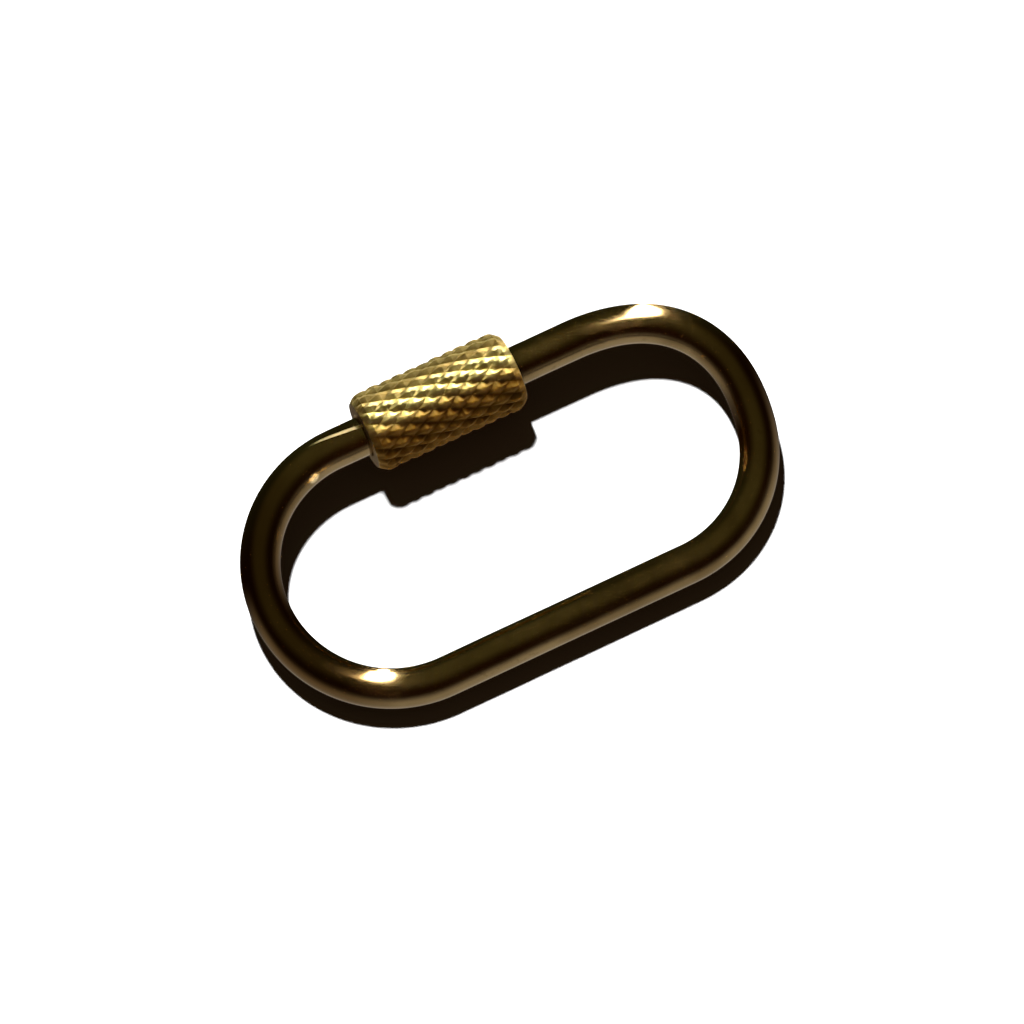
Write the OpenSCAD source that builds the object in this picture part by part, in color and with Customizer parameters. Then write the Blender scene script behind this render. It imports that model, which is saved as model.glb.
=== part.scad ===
// Oval screw link, lying at rest: one long side stands a little higher,
// because it lies on its fat knurled sleeve. +X runs along the long sides,
// the sleeve is on the +Y side, +Z is up, and z = 0 is the surface it lies on.

/* [Wire link] */
// Diameter of the bent wire
wire_d = 2.5; // [2:0.1:3]
// Radius of the two half-round bows, at the middle of the wire
bow_r = 8.0; // [7.5:0.1:10]
// Length of each straight side between the bows
straight_l = 16.5; // [16.5:0.1:20]
// Width of the mouth between the two cut ends
mouth_w = 2.8; // [2:0.1:3]

/* [Screw sleeve] */
// Outside diameter over the tips of the knurl
sleeve_d = 5.2; // [4.8:0.1:5.6]
// Length of the sleeve
sleeve_l = 10.2; // [9.6:0.1:10.4]
// Place of the closed sleeve's middle, along the long side
sleeve_x = -1.1; // [-1.3:0.1:-0.7]
// Play between the bore of the sleeve and the wire, each side
bore_play = 0.05; // [0.02:0.01:0.1]
// Chamfer at both ends of the sleeve
end_chamfer = 0.45; // [0.2:0.05:0.6]

/* [Knurl and thread] */
// Number of knurl grooves round the sleeve, in each direction
knurl_starts = 17; // [12:1:20]
// Number of half diamonds along the sleeve
knurl_rows = 12; // [8:2:16]
// Turn of the whole knurl from one row of half diamonds to the next, in
// degrees: one set of grooves runs nearer to the sleeve's axis than the other
knurl_skew = 2; // [0:0.5:3]
// Depth of the knurl
knurl_depth = 0.24; // [0.1:0.02:0.3]
// Distance from one thread ridge to the next
thread_pitch = 0.45; // [0.35:0.05:0.5]
// Depth of the thread
thread_depth = 0.2; // [0.1:0.02:0.28]
// How far the sleeve is screwed onto the short cut end when closed
grip_l = 1.2; // [1:0.1:1.5]

/* [Hidden] */
$fn = 64;
gold = "#b08d3c";
light_gold = "#d8b24a";

wire_r = wire_d / 2;
sleeve_r = sleeve_d / 2;
bore_r = wire_r + bore_play;
half_straight = straight_l / 2;

// The link lies on its plain side and on the sleeve, so its plane is tilted
rest_tilt = asin((sleeve_r - wire_r) / (2 * bow_r));
side_y = bow_r * cos(rest_tilt);
// The sleeve stands out further than the plain side; this centres the whole
centre_y = -(sleeve_r - wire_r) / 2;
centre_z = (sleeve_r + wire_r) / 2;

// Places along the cut side, with the sleeve closed
sleeve_left = sleeve_x - sleeve_l / 2;
sleeve_right = sleeve_x + sleeve_l / 2;
mouth_left = sleeve_left + grip_l;
mouth_right = mouth_left + mouth_w;
// Threads end just inside the closed sleeve, so none shows
thread_cover = 0.15;
thread_left = sleeve_left + thread_cover;
thread_right = sleeve_right - thread_cover;

// Cutting shapes reach this far past what they cut
lathe_margin = 0.05;
drill_over = 1;

// Profile of a ridged stub from x = 0 to x = len, as [x, radius] points.
// The ridges are counted from the free end at x = len.
function stub_profile(len) =
    let (turns = floor((len - thread_pitch / 2) / thread_pitch),
         root_r = wire_r - thread_depth,
         start = len - turns * thread_pitch)
    concat(
        [[0, 0], [0, wire_r], [start - thread_pitch / 2, wire_r]],
        [for (i = [0 : turns - 1], half = [0, 1])
            [start + (i + half / 2) * thread_pitch, half == 0 ? root_r : wire_r]],
        [[len, root_r], [len, 0]]);

// A threaded end of the wire, with its free face at x = len
module threaded_stub(len)
    rotate([0, 90, 0]) rotate_extrude()
        polygon([for (p = stub_profile(len)) [p[1], p[0]]]);

module wire_run(x_from, x_to)
    translate([x_from, 0, 0]) rotate([0, 90, 0]) cylinder(r = wire_r, h = x_to - x_from);

module bow()
    translate([half_straight, 0, 0]) rotate([0, 0, -90]) rotate_extrude(angle = 180)
        translate([bow_r, 0]) circle(r = wire_r);

module link_body()
    color(gold)
    translate([0, centre_y, centre_z]) rotate([rest_tilt, 0, 0])
    union() {
        bow();
        mirror([1, 0, 0]) bow();
        translate([0, -bow_r, 0]) wire_run(-half_straight, half_straight);
        translate([0, bow_r, 0]) {
            wire_run(-half_straight, thread_left);
            translate([thread_left, 0, 0]) threaded_stub(mouth_left - thread_left);
            translate([thread_right, 0, 0]) mirror([1, 0, 0])
                threaded_stub(thread_right - mouth_right);
            wire_run(thread_right, half_straight);
        }
    }

// One ring of the knurled surface: tips and groove crossings take turns
knurl_cols = 2 * knurl_starts;
function knurl_ring(row) =
    [for (col = [0 : knurl_cols - 1])
        let (r = (row + col) % 2 == 0 ? sleeve_r : sleeve_r - knurl_depth,
             a = col * 360 / knurl_cols - row * knurl_skew)
        [row * sleeve_l / knurl_rows, r * cos(a), r * sin(a)]];
function knurl_index(row, col) = row * knurl_cols + col % knurl_cols;

// Each cell between two rings is split along its diamond's edge,
// from one groove crossing to the next
function knurl_cell(row, col) =
    let (a = knurl_index(row, col), b = knurl_index(row, col + 1),
         c = knurl_index(row + 1, col + 1), d = knurl_index(row + 1, col))
    (row + col) % 2 == 0 ? [[a, b, d], [b, c, d]] : [[a, b, c], [a, c, d]];

module knurled_rod() {
    points = [for (row = [0 : knurl_rows]) each knurl_ring(row)];
    sides = [for (row = [0 : knurl_rows - 1], col = [0 : knurl_cols - 1])
        each knurl_cell(row, col)];
    first_cap = [for (col = [knurl_cols - 1 : -1 : 0]) knurl_index(0, col)];
    last_cap = [for (col = [0 : knurl_cols - 1]) knurl_index(knurl_rows, col)];
    polyhedron(points = points, faces = concat(sides, [first_cap, last_cap]));
}

// Outline that the lathe leaves: both ends chamfered, and the rest just
// outside the tips of the knurl
module chamfered_rod() {
    face_r = sleeve_r - end_chamfer;
    cone_l = end_chamfer + lathe_margin;
    rotate([0, 90, 0]) rotate_extrude()
        polygon([[0, 0], [face_r, 0], [face_r + cone_l, cone_l],
                 [face_r + cone_l, sleeve_l - cone_l], [face_r, sleeve_l], [0, sleeve_l]]);
}

module screw_sleeve()
    color(light_gold)
    translate([sleeve_left, centre_y + side_y, sleeve_r])
    difference() {
        intersection() {
            knurled_rod();
            chamfered_rod();
        }
        translate([-drill_over, 0, 0]) rotate([0, 90, 0])
            cylinder(r = bore_r, h = sleeve_l + 2 * drill_over);
    }

link_body();
screw_sleeve();
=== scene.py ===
import math
import random

import bmesh
import bpy
from mathutils import Matrix, Vector, noise


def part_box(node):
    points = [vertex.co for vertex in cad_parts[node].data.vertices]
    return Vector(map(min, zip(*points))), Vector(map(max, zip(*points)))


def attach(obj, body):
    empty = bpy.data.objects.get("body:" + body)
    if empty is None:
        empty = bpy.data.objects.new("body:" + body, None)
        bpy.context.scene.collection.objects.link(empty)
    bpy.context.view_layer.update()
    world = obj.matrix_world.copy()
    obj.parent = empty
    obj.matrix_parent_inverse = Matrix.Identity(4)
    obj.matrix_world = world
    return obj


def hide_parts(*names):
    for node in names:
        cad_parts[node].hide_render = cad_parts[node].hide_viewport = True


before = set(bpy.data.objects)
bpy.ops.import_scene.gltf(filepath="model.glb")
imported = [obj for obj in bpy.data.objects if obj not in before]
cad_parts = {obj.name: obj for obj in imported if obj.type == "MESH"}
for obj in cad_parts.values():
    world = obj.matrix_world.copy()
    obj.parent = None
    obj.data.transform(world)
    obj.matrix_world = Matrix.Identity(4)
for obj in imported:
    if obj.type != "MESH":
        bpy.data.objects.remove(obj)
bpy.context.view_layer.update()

# The link: one length of drawn brass wire, bent round a former into an oval
# and cut across one long side. Both cut ends are threaded for the sleeve. It
# was polished and has darkened since, with fine lines left along the wire.

# Lengths are in millimetres until a piece is finished, which makes them metres.
MM = 0.001
wire_radius = 1.25
bow_radius = 8.0
mouth_width = 2.8
grip_length = 1.2
thread_pitch = 0.45
thread_depth = 0.2
thread_cover = 0.15

link_low, link_high = (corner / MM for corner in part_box("link_body"))
sleeve_low, sleeve_high = (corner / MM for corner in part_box("screw_sleeve"))
half_straight = (link_high.x - link_low.x) / 2 - bow_radius - wire_radius
sleeve_radius = (sleeve_high.z - sleeve_low.z) / 2
rest_tilt = math.asin((sleeve_radius - wire_radius) / (2 * bow_radius))
link_centre = Vector((0, (wire_radius - sleeve_radius) / 2, (wire_radius + sleeve_radius) / 2))

# The closed sleeve bridges the mouth and hides both threads.
mouth_left = sleeve_low.x + grip_length
mouth_right = mouth_left + mouth_width
mouth_middle = (mouth_left + mouth_right) / 2
thread_left = sleeve_low.x + thread_cover
thread_right = sleeve_high.x - thread_cover

wire_sides = 56
bow_steps = 84
long_side_steps = 30
right_stub_steps = 8
left_stub_steps = 6
steps_per_pitch = 10
wire_crease_degrees = 35
thread_flat_share = 0.12
nose_step = 0.08
nose_radius = wire_radius - thread_depth - nose_step

# No wire bent by hand is quite even, and one corner of this one is fuller.
unevenness = 0.012
uneven_length = 4.0
uneven_lean = 0.3
full_corner = 0.5
full_corner_at = math.radians(52)
full_corner_reach = math.radians(50)

# The finest lines climb by this much for each length along the wire.
line_slant = 0.03


def draw_wire(bm, rim, steps, stride=0.0, bend_at=0.0, angle=0.0):
    """Draws the open end of the wire on, along X or round a former, and returns its new rim."""
    corners = list(dict.fromkeys(corner for edge in rim for corner in edge.verts))
    drawn = bmesh.ops.spin(bm, geom=corners + rim, cent=(bend_at, 0, 0), axis=(0, 0, -1),
                           dvec=(stride, 0, 0), angle=angle, steps=steps, use_merge=False)
    return [part for part in drawn["geom_last"] if isinstance(part, bmesh.types.BMEdge)]


def draw_straight(bm, rim, from_x, to_x, steps):
    return draw_wire(bm, rim, steps, stride=(to_x - from_x) / steps)


def thread_steps(length):
    return round(length / thread_pitch * steps_per_pitch)


def place_on_wire(point):
    """For a point of the flat link: the wire's middle, the way outwards, and the length along it."""
    bow_length = math.pi * bow_radius
    if abs(point.x) > half_straight:
        former = Vector((math.copysign(half_straight, point.x), 0, 0))
        reach = Vector((point.x, point.y, 0)) - former
        swing = math.atan2(abs(reach.x), math.copysign(1, point.x) * reach.y)
        start = half_straight if point.x > 0 else 3 * half_straight + bow_length
        outward = reach.normalized()
        return former + outward * bow_radius, outward, start + swing * bow_radius
    outward = Vector((0, math.copysign(1, point.y), 0))
    middle = Vector((point.x, 0, 0)) + outward * bow_radius
    if point.y < 0:
        return middle, outward, 2 * half_straight + bow_length - point.x
    once_round = 0 if point.x > mouth_middle else 4 * half_straight + 2 * bow_length
    return middle, outward, point.x + once_round


def stub_radius(x, turn):
    """Radius of a threaded end: a helical groove that runs out, and a chamfered nose."""
    run, runout = x - mouth_right, thread_right - x
    if x < mouth_middle:
        run, runout = mouth_left - x, x - thread_left
    wave = abs(2 * ((x / thread_pitch - turn) % 1) - 1)
    groove = (wave - thread_flat_share) / (1 - 2 * thread_flat_share)
    depth = thread_depth * min(max(groove, 0), 1) * min(max(runout / thread_pitch, 0), 1)
    return min(wire_radius - depth, nose_radius + max(run, 0))


def plain_radius(along, side):
    """Radius of the plain wire, a hair uneven and more often thin than thick."""
    place = Vector((along / uneven_length, side.y / bow_radius, side.z))
    return wire_radius + unevenness * (noise.noise(place) - uneven_lean)


def bend_error(middle):
    """How far the right bow stands out over a true half circle, at its fuller corner."""
    swing = math.atan2(middle.x - half_straight, middle.y)
    off = (swing - full_corner_at) / full_corner_reach
    if middle.x < half_straight or abs(off) > 1:
        return 0
    return full_corner * math.cos(off * math.pi / 2) ** 2


def finish_piece(bm, name, crease_degrees=30):
    """Makes a bmesh in millimetres a named object in metres, smooth between its creases."""
    bmesh.ops.recalc_face_normals(bm, faces=bm.faces[:])
    bmesh.ops.scale(bm, verts=bm.verts[:], vec=(MM, MM, MM))
    mesh = bpy.data.meshes.new(name)
    bm.to_mesh(mesh)
    bm.free()
    mesh.shade_smooth()
    mesh.set_sharp_from_angle(angle=math.radians(crease_degrees))
    piece = bpy.data.objects.new(name, mesh)
    bpy.context.scene.collection.objects.link(piece)
    return piece


def bend_link():
    """Draws the wire once round the oval from the mouth, then threads, tilts and places it."""
    bm = bmesh.new()
    cut_end = Matrix.Translation((mouth_right, bow_radius, 0)) @ Matrix.Rotation(math.pi / 2, 4, "Y")
    bmesh.ops.create_circle(bm, cap_ends=False, segments=wire_sides, radius=wire_radius,
                            matrix=cut_end)
    first_rim = bm.edges[:]
    rim = draw_straight(bm, first_rim, mouth_right, thread_right,
                        thread_steps(thread_right - mouth_right))
    rim = draw_straight(bm, rim, thread_right, half_straight, right_stub_steps)
    rim = draw_wire(bm, rim, bow_steps, bend_at=half_straight, angle=math.pi)
    rim = draw_straight(bm, rim, half_straight, -half_straight, long_side_steps)
    rim = draw_wire(bm, rim, bow_steps, bend_at=-half_straight, angle=math.pi)
    rim = draw_straight(bm, rim, -half_straight, thread_left, left_stub_steps)
    last_rim = draw_straight(bm, rim, thread_left, mouth_left,
                             thread_steps(mouth_left - thread_left))

    tilt = Matrix.Rotation(rest_tilt, 3, "X")
    run_layer = bm.verts.layers.float_vector.new("wire_run")
    way_layer = bm.verts.layers.float_vector.new("wire_way")
    for vert in bm.verts:
        middle, outward, along = place_on_wire(vert.co)
        side = vert.co - middle
        out = side.dot(outward)
        vert[run_layer] = Vector((along, out, side.z)) * MM
        vert[way_layer] = tilt @ Vector((outward.y, -outward.x, line_slant))
        on_thread = vert.co.y > 0 and thread_left < vert.co.x < thread_right
        if on_thread:
            radius = stub_radius(vert.co.x, math.atan2(side.z, out) / math.tau)
        else:
            radius = plain_radius(along, side)
        vert.co = middle + outward * bend_error(middle) + side * (radius / wire_radius)
    for rim in (first_rim, last_rim):
        bmesh.ops.edgeloop_fill(bm, edges=rim)

    bmesh.ops.rotate(bm, verts=bm.verts[:], cent=(0, 0, 0), matrix=tilt)
    bmesh.ops.translate(bm, verts=bm.verts[:], vec=link_centre)
    return finish_piece(bm, "bent_wire", wire_crease_degrees)


def feed(tree, value, socket):
    """Links another node's socket on, or sets a plain value."""
    if isinstance(value, bpy.types.NodeSocket):
        tree.links.new(value, socket)
    else:
        socket.default_value = value


def calculate(tree, operation, *values):
    """A sum on sockets and plain numbers."""
    node = tree.nodes.new("ShaderNodeMath")
    node.operation = operation
    for value, socket in zip(values, node.inputs):
        feed(tree, value, socket)
    return node.outputs[0]


def spread(tree, value, low, high, to_low=0.0, to_high=1.0):
    """A smooth map of a value's range onto another range."""
    node = tree.nodes.new("ShaderNodeMapRange")
    node.interpolation_type = "SMOOTHSTEP"
    node.inputs["From Min"].default_value = low
    node.inputs["From Max"].default_value = high
    node.inputs["To Min"].default_value = to_low
    node.inputs["To Max"].default_value = to_high
    tree.links.new(value, node.inputs["Value"])
    return node.outputs["Result"]


def noise_field(tree, vector, scale, detail, roughness=0.5):
    node = tree.nodes.new("ShaderNodeTexNoise")
    node.inputs["Detail"].default_value = detail
    node.inputs["Roughness"].default_value = roughness
    tree.links.new(vector, node.inputs["Vector"])
    feed(tree, scale, node.inputs["Scale"])
    return node.outputs["Fac"]


def attribute(tree, name):
    """What each point of a piece holds under a name, as a node's outputs."""
    node = tree.nodes.new("ShaderNodeAttribute")
    node.attribute_name = name
    return node.outputs


def blend_colour(tree, mask, plain, covered):
    """Mixes two colours, each three numbers or a socket, by a mask."""
    node = tree.nodes.new("ShaderNodeMix")
    node.data_type = "RGBA"
    tree.links.new(mask, node.inputs["Factor"])
    for slot, colour in (("A", plain), ("B", covered)):
        socket = [s for s in node.inputs if s.name == slot and s.type == "RGBA"][0]
        is_socket = isinstance(colour, bpy.types.NodeSocket)
        feed(tree, colour if is_socket else (*colour, 1), socket)
    return [s for s in node.outputs if s.type == "RGBA"][0]


def node_group(name, inputs, outputs):
    """An empty shader group with named sockets, and its two ends."""
    group = bpy.data.node_groups.new(name, "ShaderNodeTree")
    for label, kind, value in inputs:
        socket = group.interface.new_socket(name=label, in_out="INPUT", socket_type=kind)
        socket.default_value = value
    for label, kind in outputs:
        group.interface.new_socket(name=label, in_out="OUTPUT", socket_type=kind)
    return group, group.nodes.new("NodeGroupInput"), group.nodes.new("NodeGroupOutput")


def place_group(tree, group, vector, **values):
    node = tree.nodes.new("ShaderNodeGroup")
    node.node_tree = group
    tree.links.new(vector, node.inputs["Vector"])
    for label, value in values.items():
        node.inputs[label.replace("_", " ")].default_value = value
    return node.outputs


def tarnish_group():
    """Clouds and small flecks of darkened metal, as one mask."""
    group, given, result = node_group(
        "tarnish",
        [("Vector", "NodeSocketVector", (0, 0, 0)), ("Cloud Scale", "NodeSocketFloat", 250),
         ("Fleck Scale", "NodeSocketFloat", 2200)],
        [("Mask", "NodeSocketFloat")])
    place = given.outputs["Vector"]
    clouds = noise_field(group, place, given.outputs["Cloud Scale"], detail=4)
    flecks = noise_field(group, place, given.outputs["Fleck Scale"], detail=2)
    mask = calculate(group, "MAXIMUM", spread(group, clouds, low=0.38, high=0.68),
                     spread(group, flecks, low=0.58, high=0.72, to_high=0.5))
    group.links.new(mask, result.inputs["Mask"])
    return group


def polish_lines_group():
    """Fine polishing lines along the given vector's first axis, as a height and a mask of dull lines."""
    group, given, result = node_group(
        "polish_lines",
        [("Vector", "NodeSocketVector", (0, 0, 0)), ("Line Scale", "NodeSocketFloat", 6000)],
        [("Height", "NodeSocketFloat"), ("Dull", "NodeSocketFloat")])
    squeeze = group.nodes.new("ShaderNodeMapping")
    # Each line is about thirty times as long as it is wide.
    squeeze.inputs["Scale"].default_value = (0.03, 1, 1)
    group.links.new(given.outputs["Vector"], squeeze.inputs["Vector"])
    lines = noise_field(group, squeeze.outputs["Vector"], given.outputs["Line Scale"],
                        detail=3, roughness=0.6)
    group.links.new(lines, result.inputs["Height"])
    group.links.new(spread(group, lines, low=0.45, high=0.75), result.inputs["Dull"])
    return group


def metal(name):
    """A new material with a fully metallic shader, and a vector in object space."""
    material = bpy.data.materials.new(name)
    material.use_nodes = True
    tree = material.node_tree
    shader = tree.nodes["Principled BSDF"]
    shader.inputs["Metallic"].default_value = 1.0
    space = tree.nodes.new("ShaderNodeTexCoord").outputs["Object"]
    return material, tree, shader, space


def raise_lines(tree, shader, height, strength):
    bump = tree.nodes.new("ShaderNodeBump")
    bump.inputs["Strength"].default_value = strength
    bump.inputs["Distance"].default_value = line_depth * MM
    tree.links.new(height, bump.inputs["Height"])
    tree.links.new(bump.outputs["Normal"], shader.inputs["Normal"])


tarnish = tarnish_group()
polish_lines = polish_lines_group()
line_depth = 0.01
wire_line_strength = 0.2
wire_bright = (0.36, 0.27, 0.15)
wire_dark = (0.24, 0.17, 0.085)
# The next colour is painted shade for the far ends of the bows.
wire_bow_end_shade = (0.13, 0.072, 0.026)
# A bright bare colour, for the painted glints.
wire_bare_glint = (0.9, 0.78, 0.56)
wire_roughness = 0.13
dull_line_roughness = 0.18

# Both bows grow darker and browner towards their far ends: painted shade, standing in for the darker
# reflections there.
bow_end_shade_centre = 1.5
bow_end_shade_from = 12.0
bow_end_shade_to = 16.0
bow_end_shade_share = 0.8

# Scuffs near the sleeve, placed by length along the wire, way out and way up. Each is rubbed bare metal,
# placed and coloured bright to paint in a glint: a highlight line on the wire beside the sleeve, and a
# small glint spot on the left bow.
glint_scuffs = [{"at": (76.2, 0.42, 1.2), "reach": (3.45, 0.155, 1.6), "turn": -6, "roughness": 0.72},
          {"at": (72.7, -1.05, 0.68), "reach": (0.55, 0.42, 0.5), "turn": 20, "roughness": 0.19}]
glint_scuff_core = 0.45


def bow_end_shade_mask(tree, space):
    """How far painted shade darkens and browns the wire, more and more towards the far end of each bow.
    """
    split = tree.nodes.new("ShaderNodeSeparateXYZ")
    tree.links.new(space, split.inputs[0])
    aside = calculate(tree, "SUBTRACT", split.outputs["X"], bow_end_shade_centre * MM)
    return spread(tree, calculate(tree, "ABSOLUTE", aside), bow_end_shade_from * MM, bow_end_shade_to * MM,
                  to_high=bow_end_shade_share)


def glint_scuff_mask(tree, run, glint_scuff):
    """A small oval patch on the wire where the metal is rubbed bare, coloured bright as a painted glint.
    """
    place = tree.nodes.new("ShaderNodeMapping")
    place.vector_type = "TEXTURE"
    place.inputs["Location"].default_value = [part * MM for part in glint_scuff["at"]]
    place.inputs["Rotation"].default_value = (0, 0, math.radians(glint_scuff["turn"]))
    place.inputs["Scale"].default_value = [part * MM for part in glint_scuff["reach"]]
    tree.links.new(run, place.inputs["Vector"])
    away = tree.nodes.new("ShaderNodeVectorMath")
    away.operation = "LENGTH"
    tree.links.new(place.outputs["Vector"], away.inputs[0])
    return spread(tree, away.outputs["Value"], glint_scuff_core, 1, to_low=1, to_high=0)


def darkened_wire_material():
    material, tree, shader, space = metal("darkened_brass_wire")
    run = attribute(tree, "wire_run")["Vector"]
    lines = place_group(tree, polish_lines, run)
    colour = blend_colour(tree, place_group(tree, tarnish, space)["Mask"], wire_bright, wire_dark)
    # Painted shade at the far ends of the bows.
    colour = blend_colour(tree, bow_end_shade_mask(tree, space), colour, wire_bow_end_shade)
    roughness = spread(tree, lines["Dull"], 0, 1, wire_roughness, dull_line_roughness)
    for glint_scuff in glint_scuffs:
        # Each bare patch paints in a glint.
        bare_glint = glint_scuff_mask(tree, run, glint_scuff)
        colour = blend_colour(tree, bare_glint, colour, wire_bare_glint)
        roughness = calculate(tree, "MAXIMUM", roughness,
                              spread(tree, bare_glint, 0, 1, to_high=glint_scuff["roughness"]))
    tree.links.new(colour, shader.inputs["Base Color"])
    tree.links.new(roughness, shader.inputs["Roughness"])
    raise_lines(tree, shader, lines["Height"], wire_line_strength)
    # The lines run along the wire, so what it mirrors is drawn out across them.
    quarter_turn = 0.25
    tree.links.new(attribute(tree, "wire_way")["Vector"], shader.inputs["Tangent"])
    shader.inputs["Anisotropic"].default_value = 1.0
    shader.inputs["Anisotropic Rotation"].default_value = quarter_turn
    return material


link = bend_link()
link.data.materials.append(darkened_wire_material())
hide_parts("link_body")
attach(link, "link")

# The sleeve: a long round nut turned from brass rod. Its outside is rolled
# with a diamond knurl for the fingers, both ends are chamfered, and it screws
# along the wire over the mouth. Its top is coloured bright, partly rubbed wear
# and partly a painted highlight band. Its front and underside carry painted
# brown shade, and its back painted dull shade on a rougher finish.

sleeve_length = sleeve_high.x - sleeve_low.x
bore_play = 0.05
bore_radius = wire_radius + bore_play
bore_chamfer = 0.12
end_chamfer = 0.45
chamfer_cuts = 5
face_radius = sleeve_radius - end_chamfer
knurl_starts = 17
knurl_rows = 12
knurl_skew = math.radians(2)
knurl_depth = 0.24
tooth_length = sleeve_length / knurl_rows
tooth_width = math.pi * sleeve_radius / knurl_starts
flank_width = 0.31
cross_groove_lift = 0.55
tip_rounding = 0.025
tip_wear = 0.03
tip_wear_seed = 11
least_crease = math.radians(5)
sleeve_crease_degrees = 12
# Places nearer to each other than this count as one.
weld = 0.0005

# Angles round the sleeve start at its outer side, and its top is at 90 degrees.
# The bright top band is part rubbed wear and part painted highlight. In front of and below it lies
# painted brown shade, and behind it painted dull shade.
wear_and_lit_band_at = math.radians(85)
wear_and_lit_band_front = math.radians(45)
wear_and_lit_band_back = math.radians(36)


def knurl_tooth(bm):
    """One diamond tooth on the flat: foot on the groove lines, four flanks, a small flat tip."""
    made = bmesh.ops.create_circle(bm, cap_ends=True, segments=4, radius=1)
    bmesh.ops.scale(bm, verts=made["verts"], vec=(tooth_length, tooth_width, 1))
    face = bm.faces[:][0]
    if face.normal.z < 0:
        face.normal_flip()
    bmesh.ops.inset_individual(bm, faces=[face], thickness=flank_width, depth=knurl_depth,
                               use_even_offset=True)
    level = [edge for edge in bm.edges if abs(edge.verts[0].co.z - edge.verts[1].co.z) < weld]
    bmesh.ops.subdivide_edges(bm, edges=level, cuts=1, use_grid_fill=True)
    # One set of grooves is rolled deep, and the set that crosses it is shallow.
    for vert in bm.verts:
        if vert.co.z < weld and vert.co.x * vert.co.y > weld:
            vert.co.z = cross_groove_lift * knurl_depth
    upper = [edge for edge in bm.edges if max(v.co.z for v in edge.verts) > knurl_depth / 2
             and edge.calc_face_angle(0) > least_crease]
    bmesh.ops.bevel(bm, geom=upper, offset=tip_rounding, offset_type="OFFSET", segments=2,
                    profile=0.5, affect="EDGES", clamp_overlap=True, material=-1)


def cut_across(bm, x, drop_below=False, drop_above=False):
    """Cuts the sheet across at x, and can drop what lies on one side of the cut."""
    bmesh.ops.bisect_plane(bm, geom=bm.verts[:] + bm.edges[:] + bm.faces[:], dist=weld,
                           plane_co=(x, 0, 0), plane_no=(1, 0, 0),
                           clear_inner=drop_below, clear_outer=drop_above)


def knurled_sheet():
    """The knurl rolled out flat: every tooth once, cut off square at both ends."""
    wear = random.Random(tip_wear_seed)
    bm = bmesh.new()
    knurl_tooth(bm)
    pattern = bm.verts[:] + bm.edges[:] + bm.faces[:]
    for row in range(knurl_rows + 1):
        for column in range(row % 2, 2 * knurl_starts, 2):
            copied = bmesh.ops.duplicate(bm, geom=pattern)["geom"]
            corners = [part for part in copied if isinstance(part, bmesh.types.BMVert)]
            squash = 1 - wear.random() * tip_wear / knurl_depth
            bmesh.ops.scale(bm, verts=corners, vec=(1, 1, squash))
            bmesh.ops.translate(bm, verts=corners,
                                vec=(row * tooth_length, column * tooth_width, 0))
    bmesh.ops.delete(bm, geom=[part for part in pattern if isinstance(part, bmesh.types.BMVert)],
                     context="VERTS")
    bmesh.ops.remove_doubles(bm, verts=bm.verts[:], dist=weld)
    cut_across(bm, 0, drop_below=True)
    cut_across(bm, sleeve_length, drop_above=True)
    for cut in range(1, chamfer_cuts + 1):
        cut_across(bm, end_chamfer * cut / chamfer_cuts)
        cut_across(bm, sleeve_length - end_chamfer * cut / chamfer_cuts)
    return bm


def wear_light_and_shade(angle):
    """How far a place round the sleeve lies in the bright top band, part wear and part painted
    highlight, and how far in the painted dull shade behind it.
    """
    off = (angle - wear_and_lit_band_at + math.pi) % math.tau - math.pi
    if off > 0:
        return max(0, 1 - off / wear_and_lit_band_front), 0
    behind = min(1, -off / wear_and_lit_band_back)
    return 1 - behind, behind


def turn_in(bm, rim, x, radius):
    """Carries an open rim of the sleeve on to another place and radius, and returns the new rim."""
    drawn = bmesh.ops.extrude_edge_only(bm, edges=rim)["geom"]
    for corner in (part for part in drawn if isinstance(part, bmesh.types.BMVert)):
        shrink = radius / math.hypot(corner.co.y, corner.co.z)
        corner.co = Vector((x, corner.co.y * shrink, corner.co.z * shrink))
    return [part for part in drawn if isinstance(part, bmesh.types.BMEdge) and part.is_boundary]


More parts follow.
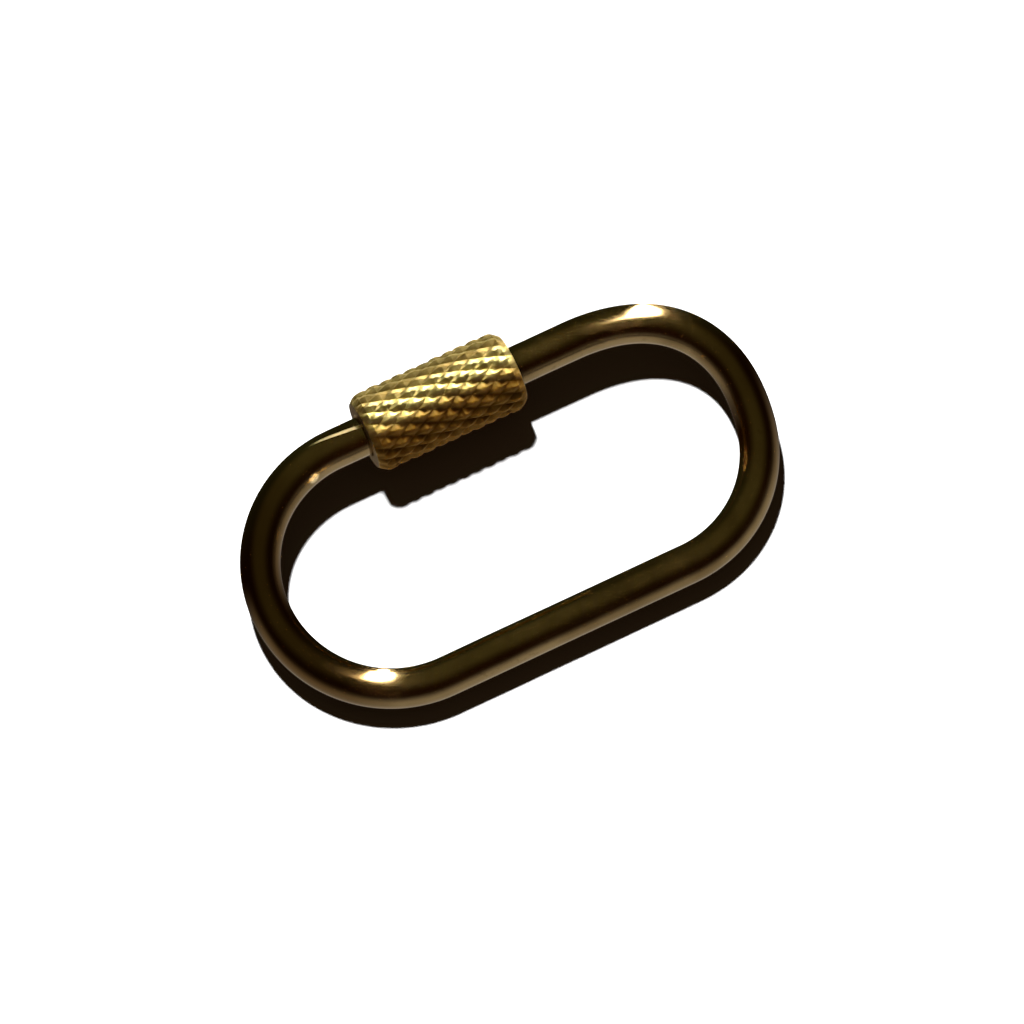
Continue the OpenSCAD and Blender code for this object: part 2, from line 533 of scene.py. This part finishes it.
def turn_sleeve():
    """Rolls the knurled sheet up, chamfers and bores it, and puts it round the wire."""
    bm = knurled_sheet()
    height_layer = bm.verts.layers.float.new("knurl_height")
    turned_layer = bm.verts.layers.float.new("turned")
    # One layer holds the bright top band, part wear and part painted highlight, and one holds the
    # painted dull shade behind it.
    wear_and_lit_layer = bm.verts.layers.float.new("wear_and_lit_band")
    dull_shade_layer = bm.verts.layers.float.new("dull_and_shaded")
    for vert in bm.verts:
        from_end = min(vert.co.x, sleeve_length - vert.co.x)
        angle = vert.co.y / sleeve_radius - knurl_skew * vert.co.x / tooth_length
        if from_end < weld:
            vert[turned_layer] = vert[height_layer] = vert[wear_and_lit_layer] = 1
        else:
            vert[height_layer] = vert.co.z / knurl_depth
            vert[wear_and_lit_layer], vert[dull_shade_layer] = wear_light_and_shade(angle)
        groove = (knurl_depth - vert.co.z) * min(1, from_end / end_chamfer)
        radius = min(sleeve_radius, face_radius + from_end) - groove
        vert.co = Vector((vert.co.x, radius * math.cos(angle), radius * math.sin(angle)))
    bmesh.ops.remove_doubles(bm, verts=bm.verts[:], dist=weld)

    rims = []
    for end, inward in ((0, 1), (sleeve_length, -1)):
        rim = [edge for edge in bm.edges if edge.is_boundary
               and all(abs(corner.co.x - end) < 2 * weld for corner in edge.verts)]
        rim = turn_in(bm, rim, end, bore_radius + bore_chamfer)
        rims += turn_in(bm, rim, end + inward * bore_chamfer, bore_radius)
    bmesh.ops.bridge_loops(bm, edges=rims)
    side = link_centre.y + bow_radius * math.cos(rest_tilt)
    bmesh.ops.translate(bm, verts=bm.verts[:], vec=(sleeve_low.x, side, sleeve_radius))
    return finish_piece(bm, "knurled_sleeve", sleeve_crease_degrees)


# Colours for the bright top band (part wear, part painted highlight), for the painted brown shade in
# front and below, and for the painted dull shade behind. The brown tip colour also serves the tarnish.
wear_and_lit_tip = (0.96, 0.87, 0.44)
wear_and_lit_groove = (0.92, 0.82, 0.4)
tarnish_and_shade_tip = (0.42, 0.25, 0.06)
brown_shade_groove = (0.28, 0.15, 0.025)
dull_shade_tip = (0.25, 0.205, 0.09)
dull_shade_groove = (0.18, 0.145, 0.055)
turned_brass = (0.32, 0.22, 0.1)
tip_from, tip_to = 0.05, 0.75
sleeve_tarnish_share = 0.2
tip_roughness = 0.38
groove_roughness = 0.76
dull_shade_roughness = 0.85
sleeve_line_strength = 0.25


def knurled_brass_material():
    material, tree, shader, space = metal("knurled_brass")
    tip = spread(tree, attribute(tree, "knurl_height")["Fac"], tip_from, tip_to)
    wear_and_lit_share = spread(tree, attribute(tree, "wear_and_lit_band")["Fac"], 0, 1)
    dull_and_shaded = spread(tree, attribute(tree, "dull_and_shaded")["Fac"], 0, 1)
    cover = place_group(tree, tarnish, space, Cloud_Scale=500, Fleck_Scale=4000)["Mask"]
    tarnished = spread(tree, cover, 0, 1, to_high=sleeve_tarnish_share)
    # The bright band is part wear and part painted highlight; the brown and dull copies are painted
    # shade.
    wear_and_lit_brass = blend_colour(tree, tip, wear_and_lit_groove, wear_and_lit_tip)
    brown_shade_brass = blend_colour(tree, tip, brown_shade_groove, tarnish_and_shade_tip)
    dull_shade_brass = blend_colour(tree, tip, dull_shade_groove, dull_shade_tip)
    colour = blend_colour(tree, wear_and_lit_share, brown_shade_brass, wear_and_lit_brass)
    colour = blend_colour(tree, tarnished, colour, tarnish_and_shade_tip)
    colour = blend_colour(tree, dull_and_shaded, colour, dull_shade_brass)
    colour = blend_colour(tree, attribute(tree, "turned")["Fac"], colour, turned_brass)
    tree.links.new(colour, shader.inputs["Base Color"])
    shine = calculate(tree, "MULTIPLY", wear_and_lit_share, tip)
    roughness = calculate(tree, "MAXIMUM",
                          spread(tree, shine, 0, 1, groove_roughness, tip_roughness),
                          spread(tree, dull_and_shaded, 0, 1, to_high=dull_shade_roughness))
    tree.links.new(roughness, shader.inputs["Roughness"])
    lines = place_group(tree, polish_lines, space, Line_Scale=9000)
    raise_lines(tree, shader, lines["Height"], sleeve_line_strength)
    return material


sleeve = turn_sleeve()
sleeve.data.materials.append(knurled_brass_material())
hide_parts("screw_sleeve")
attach(sleeve, "sleeve")

# The table: a plain pale sheet that the link lies on. It is no part of the
# link, and is large enough to fill the view from any side.

table_side = 3000.0
table_colour = (0.83, 0.83, 0.83)


def lay_table():
    bm = bmesh.new()
    bmesh.ops.create_grid(bm, x_segments=1, y_segments=1, size=table_side / 2)
    table = finish_piece(bm, "table")
    material = bpy.data.materials.new("pale_table")
    material.use_nodes = True
    shader = material.node_tree.nodes["Principled BSDF"]
    shader.inputs["Base Color"].default_value = (*table_colour, 1)
    shader.inputs["Specular IOR Level"].default_value = 0
    table.data.materials.append(material)
    # The metal mirrors the studio alone: a pale sheet would light up its rims.
    table.visible_glossy = False
    return table


lay_table()

# The light: one lamp high behind the link, and a dark studio for the metal to
# mirror. It has an olive ceiling, a pale wall low in front, a dim one behind
# and a long bright strip. The table's shadows get one dim brown tone from it.

# An azimuth of 0 is the sleeve's side of the link, and 90 degrees its right end.
# The lamp and the camera are placed in metres.
lamp_azimuth = math.radians(5)
lamp_elevation = math.radians(59)
lamp_distance = 1.5
lamp_size = 0.1
lamp_power = 60

backdrop = (1.0, 1.0, 1.0)
studio_dark = (0.02, 0.006, 0.0)
studio_ceiling = (0.1, 0.088, 0.03)
studio_back = (0.035, 0.035, 0.01)
studio_front = (0.55, 0.5, 0.4)
studio_strip = (54.0, 48.0, 35.0)
studio_shade = (0.017, 0.0098, 0.0043)

# Each wall fades in between two cosines of the angle to the way it lies.
back_azimuth = math.radians(11)
back_fade = (0.4, 0.8)
ceiling_back_fade = (-0.75, 0.15)
ceiling_up_fade = (0.2, 0.75)
ceiling_side_fade = (-0.85, -0.25)
front_azimuth = math.radians(186)
front_fade = (-0.45, 0.05)
front_down_fade = (-0.35, 0.45)

# The flat top of the link mirrors this way to the camera, all round the oval.
flat_top_azimuth = math.radians(46)
flat_top_elevation = math.radians(78)
strip_azimuth = math.radians(29.5)
strip_from_flat_top = math.radians(55.6)
strip_half_length = math.radians(51.4)
strip_half_width = math.radians(4.7)
strip_softness = 0.015


def sky_way(azimuth, elevation=0.0):
    """The way to a place in the sky, as a vector of length one."""
    level = math.cos(elevation)
    return Vector((math.sin(azimuth) * level, math.cos(azimuth) * level, math.sin(elevation)))


def hang_lamp():
    data = bpy.data.lights.new("lamp", "AREA")
    data.size = lamp_size
    data.energy = lamp_power
    lamp = bpy.data.objects.new("lamp", data)
    bpy.context.scene.collection.objects.link(lamp)
    way = sky_way(lamp_azimuth, lamp_elevation)
    lamp.location = way * lamp_distance
    lamp.rotation_euler = (-way).to_track_quat("-Z", "Y").to_euler()
    lamp.visible_camera = False
    lamp.visible_glossy = False


def reach_towards(tree, direction, way, low, high):
    """How far a direction points a given way, as a smooth mask."""
    dot = tree.nodes.new("ShaderNodeVectorMath")
    dot.operation = "DOT_PRODUCT"
    dot.inputs[1].default_value = way
    tree.links.new(direction, dot.inputs[0])
    return spread(tree, dot.outputs["Value"], low, high)


def all_of(tree, mask, *others):
    for other in others:
        mask = calculate(tree, "MULTIPLY", mask, other)
    return mask


def ceiling_mask(tree, direction):
    """The ceiling: overhead and behind, and fading off to both sides."""
    across = sky_way(back_azimuth + math.pi / 2)
    return all_of(tree, reach_towards(tree, direction, sky_way(back_azimuth), *ceiling_back_fade),
                  reach_towards(tree, direction, (0, 0, 1), *ceiling_up_fade),
                  reach_towards(tree, direction, across, *ceiling_side_fade),
                  reach_towards(tree, direction, -across, *ceiling_side_fade))


def strip_mask(tree, direction):
    """The bright strip, a pointed oval. Its near tip stops short of what the flat top mirrors."""
    flat_top = sky_way(flat_top_azimuth, flat_top_elevation)
    back = sky_way(strip_azimuth)
    back = (back - flat_top * flat_top.dot(back)).normalized()
    across = back.cross(flat_top)
    middle = flat_top * math.cos(strip_from_flat_top) + back * math.sin(strip_from_flat_top)
    # It is where two round caps overlap, and each leans to one side of its middle.
    lean = math.atan((math.cos(strip_half_width) - math.cos(strip_half_length))
                     / math.sin(strip_half_width))
    edge = math.cos(lean) * math.cos(strip_half_length)
    sides = [middle * math.cos(lean) + across * (side * math.sin(lean)) for side in (1, -1)]
    return all_of(tree, *(reach_towards(tree, direction, way, edge, edge + strip_softness)
                          for way in sides))


def dim_studio():
    world = bpy.data.worlds.new("dim_studio")
    bpy.context.scene.world = world
    # The metal meets the strip by mirroring it, so the strip isn't sampled as a lamp.
    world.cycles.sampling_method = "NONE"
    world.use_nodes = True
    tree = world.node_tree
    way = tree.nodes.new("ShaderNodeTexCoord").outputs["Generated"]
    back_wall = reach_towards(tree, way, sky_way(back_azimuth), *back_fade)
    front_wall = all_of(tree, reach_towards(tree, way, sky_way(front_azimuth), *front_fade),
                        reach_towards(tree, way, (0, 0, -1), *front_down_fade))
    tone = blend_colour(tree, back_wall, studio_dark, studio_back)
    tone = blend_colour(tree, ceiling_mask(tree, way), tone, studio_ceiling)
    tone = blend_colour(tree, front_wall, tone, studio_front)
    tone = blend_colour(tree, strip_mask(tree, way), tone, studio_strip)

    ray = tree.nodes.new("ShaderNodeLightPath")
    from_table = spread(tree, ray.outputs["Diffuse Depth"], 0, 1)
    walls = tree.nodes.new("ShaderNodeBackground")
    tree.links.new(blend_colour(tree, from_table, tone, studio_shade), walls.inputs["Color"])
    plain = tree.nodes["Background"]
    plain.inputs["Color"].default_value = (*backdrop, 1)
    mix = tree.nodes.new("ShaderNodeMixShader")
    tree.links.new(ray.outputs["Is Camera Ray"], mix.inputs["Fac"])
    tree.links.new(walls.outputs[0], mix.inputs[1])
    tree.links.new(plain.outputs[0], mix.inputs[2])
    tree.links.new(mix.outputs[0], tree.nodes["World Output"].inputs["Surface"])


hang_lamp()
dim_studio()

# The camera looks down steeply from the front left, from far off with a long
# lens, as the photo does.

camera_azimuth = math.radians(206.2)
camera_elevation = math.radians(70)
camera_distance = 0.38
sensor_width = 36.0
picture_width = 1024
pixels_per_mm = 16.14
# Where the table under the link's middle comes in the picture, in pixels
foot_at_x, foot_at_y = 510.9, 517.1


def set_camera():
    data = bpy.data.cameras.new("camera")
    data.sensor_width = sensor_width
    data.lens = sensor_width * pixels_per_mm * camera_distance / MM / picture_width
    camera = bpy.data.objects.new("camera", data)
    bpy.context.scene.collection.objects.link(camera)
    back = sky_way(camera_azimuth, camera_elevation)
    turn = (-back).to_track_quat("-Z", "Y")
    right, up = turn @ Vector((1, 0, 0)), turn @ Vector((0, 1, 0))
    foot = Vector((0, link_centre.y, 0)) * MM
    shift = right * (picture_width / 2 - foot_at_x) + up * (foot_at_y - picture_width / 2)
    aim = foot + shift * MM / pixels_per_mm
    camera.location = aim + back * camera_distance
    camera.rotation_euler = turn.to_euler()
    bpy.context.scene.camera = camera


set_camera()
bpy.context.scene.view_settings.view_transform = "Standard"
